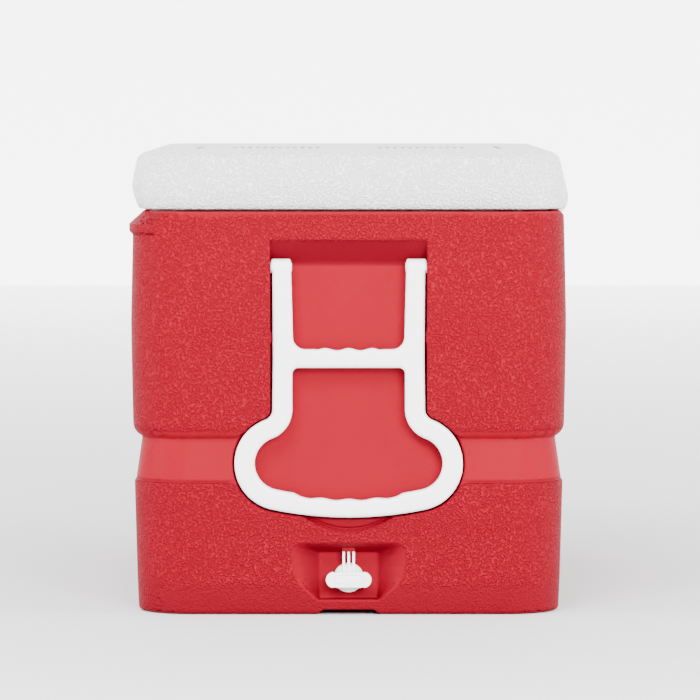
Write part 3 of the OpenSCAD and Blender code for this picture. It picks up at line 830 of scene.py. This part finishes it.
def drain_plug(x, y, z):
    """Disc with a stepped rim, stem, and a notched wing with a ring pressed into its face."""
    step_r, stem_r, neck_r = 11.0, 6.0, 5.0
    wing_x, wing_r, wing_thick = 13.3, 7.1, 8.5
    notch_x, notch_z, notch_r = 12.5, 8.1, 1.5
    ring_x, ring_r, ring_half, ring_depth = 9.5, 3.9, 0.55, 0.7
    radial = np.hypot(y, z - DRAIN_Z)
    disc = join(radial - DISC_R, slab(x, DISC_BACK, DISC_FRONT - 0.9), 0.5)
    disc = np.minimum(disc, join(radial - step_r, slab(x, DISC_BACK, DISC_FRONT), 0.5))
    stem = join(radial - stem_r, slab(x, CAP[0][0], DISC_BACK + 1), 0.8)
    up = z - (DRAIN_Z - 0.7)
    u = np.abs(y)
    neck = join(np.hypot(u / 1.3, up) - neck_r, slab(x, DISC_FRONT - 1, CAP_FRONT - 5), 1.0)
    stadium = np.hypot(np.maximum(u - wing_x, 0), up) - wing_r
    notch = np.hypot(u - notch_x, np.abs(up) - notch_z) - notch_r
    wing = join(cut(stadium, notch, 0.8), slab(x, CAP_FRONT - wing_thick, CAP_FRONT - 0.05), 1.6)
    ring = np.abs(np.hypot(np.maximum(u - ring_x, 0), up) - ring_r) - ring_half
    wing = cut(wing, np.maximum(ring, CAP_FRONT - ring_depth - x), 0.3)
    return union(union(union(disc, stem, 0.5), neck, 1.5), wing, 1.0)


def plug_grid():
    fine = 0.5
    xs = planes((CAP[0][0] - 1, CAP_FRONT + 1, fine))
    return xs, both_sides((0, 22, fine)), planes((DRAIN_Z - 14.5, DRAIN_Z + 14.5, fine))


def strap_ribs(x, y, z):
    """Three ribs that tie the cap to the recess, joined across the disc's face just above the wing."""
    low, high = STRAP
    rib_pitch, rib_half, end_r = 4.45, 1.15, 1.7
    foot_low, foot_high, foot_half = DRAIN_Z + 6.0, DRAIN_Z + 8.6, 5.6
    u = np.abs(y)
    rib = np.minimum(u, np.abs(u - rib_pitch)) - rib_half
    ribs = join(rib, slab(x, low[0] + 0.2, high[0]), 0.6)
    foot = join(u - foot_half, slab(x, low[0], high[0]), 0.5)
    foot = np.maximum(foot, slab(z, foot_low, foot_high))
    solid = union(np.maximum(ribs, slab(z, foot_low, high[2])), foot, 0.6)
    above = z - high[2] + end_r
    round_end = np.where(above > 0, np.hypot(x - centre(STRAP)[0], above) - end_r, -FAR)
    disc = np.maximum(np.hypot(y, z - DRAIN_Z) - DISC_R, x - DISC_FRONT)
    return np.maximum(np.maximum(solid, round_end), -disc)


def strap_grid():
    fine = 0.35
    xs = planes((STRAP[0][0] - 0.8, STRAP[1][0] + 0.8, fine))
    return xs, both_sides((0, 6.6, fine)), planes((DRAIN_Z + 5.0, STRAP[1][2] + 0.8, fine))


def spout_tube(x, y, z):
    """The drain's tube with the round flange that shows behind the plug."""
    bore_r = 8.0
    radial = np.hypot(y, z - DRAIN_Z)
    tube = join(radial - SPOUT_R, slab(x, SPOUT[0][0], FLANGE_FACE - 0.5), 0.4)
    flange = join(radial - FLANGE_R, slab(x, RECESS_FLOOR, FLANGE_FACE), 0.8)
    return cut(union(tube, flange, 0.6), radial - bore_r, 0.4)


def spout_grid():
    fine = 0.6
    xs = planes((SPOUT[0][0] - 1, FLANGE_FACE + 1, fine))
    return xs, both_sides((0, 15, fine)), planes((DRAIN_Z - 15, DRAIN_Z + 15, fine))


# ---- Materials ----


def srgb(r, g, b):
    """A colour given as on a screen, 0 to 255, in the linear form that nodes take."""

    def linear(c):
        c /= 255
        return c / 12.92 if c <= 0.04045 else ((c + 0.055) / 1.055) ** 2.4

    return linear(r), linear(g), linear(b), 1.0


def material(name, colour, roughness, coat=0.0):
    """A new material with its node tree and its Principled shader."""
    m = bpy.data.materials.new(name)
    m.use_nodes = True
    shader = m.node_tree.nodes["Principled BSDF"]
    shader.inputs["Base Color"].default_value = colour
    shader.inputs["Roughness"].default_value = roughness
    shader.inputs["Coat Weight"].default_value = coat
    return m, m.node_tree, shader


def feed(tree, socket, source):
    """Gives a socket a fixed value, or links it to another node's output."""
    if isinstance(source, bpy.types.NodeSocket):
        tree.links.new(source, socket)
    else:
        socket.default_value = source


def node(tree, kind, **values):
    """A new node with its inputs and settings. A name that isn't an input is a setting."""
    n = tree.nodes.new(kind)
    for key, value in values.items():
        if key in n.inputs:
            feed(tree, n.inputs[key], value)
        else:
            setattr(n, key, value)
    return n


def place(tree):
    """The point on the object, in metres."""
    return tree.nodes.new("ShaderNodeTexCoord").outputs["Object"]


def painted(tree, name):
    """The surface attribute that from_field wrote."""
    return node(tree, "ShaderNodeAttribute", attribute_name=name).outputs["Fac"]


def noise(tree, scale, detail, roughness=0.5):
    """How high a noise is at the point on the object."""
    n = node(tree, "ShaderNodeTexNoise", Scale=scale, Detail=detail, Roughness=roughness)
    tree.links.new(place(tree), n.inputs["Vector"])
    return n.outputs["Fac"]


def mix(tree, data_type, factor, a, b):
    """The output of a Mix node between a and b."""
    first, second, result = {"FLOAT": (2, 3, 0), "RGBA": (6, 7, 2)}[data_type]
    n = node(tree, "ShaderNodeMix", data_type=data_type)
    feed(tree, n.inputs[0], factor)
    feed(tree, n.inputs[first], a)
    feed(tree, n.inputs[second], b)
    return n.outputs[result]


def remap(tree, value, source, target, interpolation="LINEAR"):
    """value carried over from the range source to the range target."""
    n = node(tree, "ShaderNodeMapRange", Value=value, interpolation_type=interpolation)
    for name, limit in zip(("From Min", "From Max", "To Min", "To Max"), source + target):
        n.inputs[name].default_value = limit
    return n.outputs["Result"]


def bump(tree, shader, height, strength, distance):
    """Bumps in the shader's normal, distance metres high."""
    n = node(tree, "ShaderNodeBump", Height=height, Strength=strength, Distance=distance)
    tree.links.new(n.outputs["Normal"], shader.inputs["Normal"])


def pebbled(name, colour, shade, smooth, shade_paint, roughness, gloss, grain, height, fleck):
    """Moulded plastic, pebbled where the mesh says so, smooth elsewhere, with shade painted darker in its
    hollows.
    """
    fine_ratio, fine_share = 2.3, 0.3
    pebble_range = (0.36, 0.64)
    m, tree, shader = material(name, colour, roughness)
    shader.inputs["Specular IOR Level"].default_value = gloss
    skin = painted(tree, "skin")
    coarse = noise(tree, grain, detail=1.0)
    fine = noise(tree, grain * fine_ratio, detail=1.0)
    grains = mix(tree, "FLOAT", fine_share, coarse, fine)
    pebbles = remap(tree, grains, pebble_range, (0, 1), "SMOOTHSTEP")
    raised = node(tree, "ShaderNodeMath", operation="MULTIPLY")
    feed(tree, raised.inputs[0], pebbles)
    feed(tree, raised.inputs[1], skin)
    bump(tree, shader, raised.outputs[0], strength=1.0, distance=height)
    tint = mix(tree, "RGBA", remap(tree, pebbles, (0, 1), (1 - fleck, 1)), shade, colour)
    plain = mix(tree, "RGBA", skin, smooth, tint)
    # Painted shade: the colour goes towards the shade colour as far as the painted attribute says
    deep = mix(tree, "RGBA", painted(tree, "shade_paint"), plain, shade_paint)
    tree.links.new(deep, shader.inputs["Base Color"])
    return m


def moulded(name, colour, roughness, ripple=0.00004, grain=60.0, coat=0.0):
    """Smooth moulded plastic: a faint ripple in the surface and a slight change of colour and polish."""
    smoother, rougher, darkening = 0.06, 0.08, 0.96
    m, tree, shader = material(name, colour, roughness, coat)
    cloud = noise(tree, grain, detail=3.0, roughness=0.6)
    bump(tree, shader, cloud, strength=0.6, distance=ripple)
    polish = remap(tree, cloud, (0, 1), (roughness - smoother, roughness + rougher))
    tree.links.new(polish, shader.inputs["Roughness"])
    darker = tuple(c * darkening for c in colour[:3]) + (1.0,)
    tree.links.new(mix(tree, "RGBA", cloud, darker, colour), shader.inputs["Base Color"])
    return m


def brushed_steel():
    """Steel with fine streaks of polish."""
    m, tree, shader = material("steel", srgb(178, 180, 184), roughness=0.32)
    shader.inputs["Metallic"].default_value = 1.0
    streaks = noise(tree, scale=900.0, detail=2.0)
    tree.links.new(remap(tree, streaks, (0, 1), (0.22, 0.45)), shader.inputs["Roughness"])
    bump(tree, shader, streaks, strength=0.3, distance=0.00003)
    return m


def cellular_foam():
    """Poured insulation with small cells."""
    m, tree, shader = material("foam", srgb(226, 204, 150), roughness=0.9)
    cells = node(tree, "ShaderNodeTexVoronoi", Vector=place(tree), Scale=420.0).outputs["Distance"]
    bump(tree, shader, cells, strength=0.8, distance=0.0006)
    tint = mix(tree, "RGBA", cells, srgb(190, 162, 104), srgb(236, 216, 168))
    tree.links.new(tint, shader.inputs["Base Color"])
    return m


RED = pebbled(
    "red_plastic",
    colour=srgb(132, 7, 29),
    shade=srgb(97, 2, 16),
    smooth=srgb(123, 6, 26),
    # The colour of the shade painted in the hollows and towards the foot
    shade_paint=srgb(101, 5, 21),
    roughness=0.5,
    gloss=0.03,
    grain=500.0,
    height=0.0014,
    fleck=0.65,
)
LID_WHITE = pebbled(
    "lid_plastic",
    colour=srgb(250, 250, 249),
    shade=srgb(212, 212, 212),
    smooth=srgb(246, 246, 245),
    # The colour of the shade painted down in the grooves
    shade_paint=srgb(150, 150, 150),
    roughness=0.45,
    gloss=0.4,
    grain=480.0,
    height=0.0019,
    fleck=0.9,
)
HANDLE_WHITE = moulded("handle_plastic", srgb(246, 246, 245), roughness=0.26, coat=0.15)
FITTING_WHITE = moulded("fitting_plastic", srgb(240, 240, 238), roughness=0.34)
LINER_WHITE = moulded("liner_plastic", srgb(238, 240, 240), roughness=0.3, ripple=0.00008, grain=22.0)
RUBBER = moulded("rubber", srgb(42, 42, 44), roughness=0.7, ripple=0.00006, grain=300.0)
STEEL = brushed_steel()
FOAM = cellular_foam()


# ---- Pieces ----


def finished(piece, look, body, slot, *nodes):
    """Gives a new piece its look and its body, and hides the CAD nodes that it stands for; slot is not
    used.
    """
    piece.data.materials.append(look)
    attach(piece, body)
    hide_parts(*nodes)


def dressed(name, look):
    """A CAD node kept as it is, with its material."""
    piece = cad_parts[name]
    if not piece.data.materials:
        piece.data.materials.append(look)
    for i in range(len(piece.data.materials)):
        piece.data.materials[i] = look


# The red's pebbles, and the shade painted in its hollows and towards the foot
red_paint = {"skin": red_skin, "shade_paint": red_painted_shade}
shell = from_field("red_body", red_shell, red_grid(), limit=190000, paint=red_paint)
finished(shell, RED, "chest", "red_shell", "outer_shell")

inner = from_field("inner_tub", white_liner, liner_grid(), limit=90000)
finished(inner, LINER_WHITE, "chest", "white_liner", "liner", "drain_sump")

# The lid's pebbles, and the shade painted down in its grooves
lid_paint = {"skin": lid_skin, "shade_paint": lid_painted_shade}
lid = from_field("lid_cover", white_lid, lid_grid(), limit=150000, paint=lid_paint)
finished(lid, LID_WHITE, "lid", "white_lid", "lid_shell")

panel = from_field("lid_panel", white_lid_liner, lid_liner_grid(), limit=60000)
finished(panel, LINER_WHITE, "lid", "white_liner", "lid_liner")

for end, flip in (("right", False), ("left", True)):
    swing = from_field(end + "_swing_handle", white_handle, handle_grid(), limit=60000, flip=flip)
    finished(swing, HANDLE_WHITE, end + "_handle", "white_handle", end + "_handle")

plug = from_field("drain_plug", drain_plug, plug_grid(), limit=24000, reach=0.4)
finished(plug, HANDLE_WHITE, "drain_cap", "white_fitting", "drain_cap")
ribs = from_field("drain_plug_strap", strap_ribs, strap_grid(), limit=12000, reach=0.3)
finished(ribs, HANDLE_WHITE, "drain_cap", "white_fitting", "drain_strap")
tube = from_field("drain_tube", spout_tube, spout_grid(), limit=16000, reach=0.4)
finished(tube, FITTING_WHITE, "chest", "white_fitting", "drain_spout")

for name in ("body_foam", "lid_foam"):
    dressed(name, FOAM)
for name in ("drain_gasket", "drain_cap_seal"):
    dressed(name, RUBBER)
for name in ("hinge_pin_right", "hinge_pin_left", "body_hinge_screws", "lid_hinge_screws"):
    dressed(name, STEEL)
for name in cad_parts:
    if "leaf" in name or "handle_pin" in name or name == "drain_nut":
        dressed(name, FITTING_WHITE)
dressed("drain_strap_anchor", RED)


# ---- Stage ----

WHITE = (1.0, 1.0, 1.0, 1.0)
SUBJECT = (0.3, 0.0, 0.2)


def sheet(name, corners, look):
    """A flat four-sided surface of the set, not of the object."""
    mesh = bpy.data.meshes.new(name)
    mesh.from_pydata(corners, [], [(0, 1, 2, 3)])
    mesh.materials.append(look)
    piece = bpy.data.objects.new(name, mesh)
    bpy.context.scene.collection.objects.link(piece)
    return piece


def floor_look():
    """A pale floor whose glow rises with the distance from the object."""
    glow_reach, glow_most = 6.5, 2.6
    look, tree, shader = material("floor", (0.62, 0.62, 0.62, 1), roughness=0.8)
    scaled = node(tree, "ShaderNodeVectorMath", operation="SCALE", Scale=1 / glow_reach)
    tree.links.new(place(tree), scaled.inputs[0])
    near = node(tree, "ShaderNodeTexGradient", gradient_type="SPHERICAL", Vector=scaled.outputs[0])
    glow = remap(tree, near.outputs["Fac"], (0.9, 0.0), (0.0, glow_most))
    shader.inputs["Emission Color"].default_value = WHITE
    tree.links.new(glow, shader.inputs["Emission Strength"])
    return look


def floor():
    half, drop = 30.0, 0.0005
    corners = [(-half, -half, 0), (half, -half, 0), (half, half, 0), (-half, half, 0)]
    sheet("floor", corners, floor_look()).location.z = -drop


def backdrop():
    """A glowing wall behind the far end."""
    half, tall, far = 16.0, 7.0, -7.0
    look, _, shader = material("backdrop", (0.9, 0.9, 0.9, 1), roughness=0.9)
    shader.inputs["Emission Color"].default_value = WHITE
    shader.inputs["Emission Strength"].default_value = 3.4
    corners = [(far, -half, 0), (far, half, 0), (far, half, tall), (far, -half, tall)]
    sheet("backdrop", corners, look)


def light(name, source, size, power):
    """A soft box aimed at the object."""
    data = bpy.data.lights.new(name, "AREA")
    data.shape = "RECTANGLE"
    data.size, data.size_y = size
    data.energy = power
    lamp = bpy.data.objects.new(name, data)
    lamp.location = source
    lamp.rotation_euler = (Vector(SUBJECT) - Vector(source)).to_track_quat("-Z", "Y").to_euler()
    bpy.context.scene.collection.objects.link(lamp)


def lights():
    """White light from all round, a key and a fill at the drain end, and one light for each long side."""
    world = bpy.data.worlds.new("studio")
    world.use_nodes = True
    world.node_tree.nodes["Background"].inputs["Color"].default_value = WHITE
    world.node_tree.nodes["Background"].inputs["Strength"].default_value = 1.0
    bpy.context.scene.world = world
    light("key", (3.6, -1.2, 3.6), size=(2.0, 1.6), power=350)
    light("fill", (4.6, 1.2, 1.6), size=(2.2, 1.4), power=480)
    light("front", (0.9, -3.0, 1.4), size=(2.0, 1.6), power=170)
    light("rear", (0.9, 3.0, 1.4), size=(2.0, 1.6), power=170)


def camera():
    """Looks squarely at the drain end from a little above, through a long lens."""
    distance, eye_z = 4.418, 0.473
    aim_y, aim_z = 0.0012, 0.23795
    face = HALF_L / MM
    data = bpy.data.cameras.new("camera")
    data.sensor_width = 36
    data.lens = 255.3
    cam = bpy.data.objects.new("camera", data)
    cam.location = (face + distance, 0.0, eye_z)
    aim = Vector((face, aim_y, aim_z))
    cam.rotation_euler = (aim - cam.location).to_track_quat("-Z", "Y").to_euler()
    bpy.context.scene.collection.objects.link(cam)
    bpy.context.scene.camera = cam


floor()
backdrop()
lights()
camera()
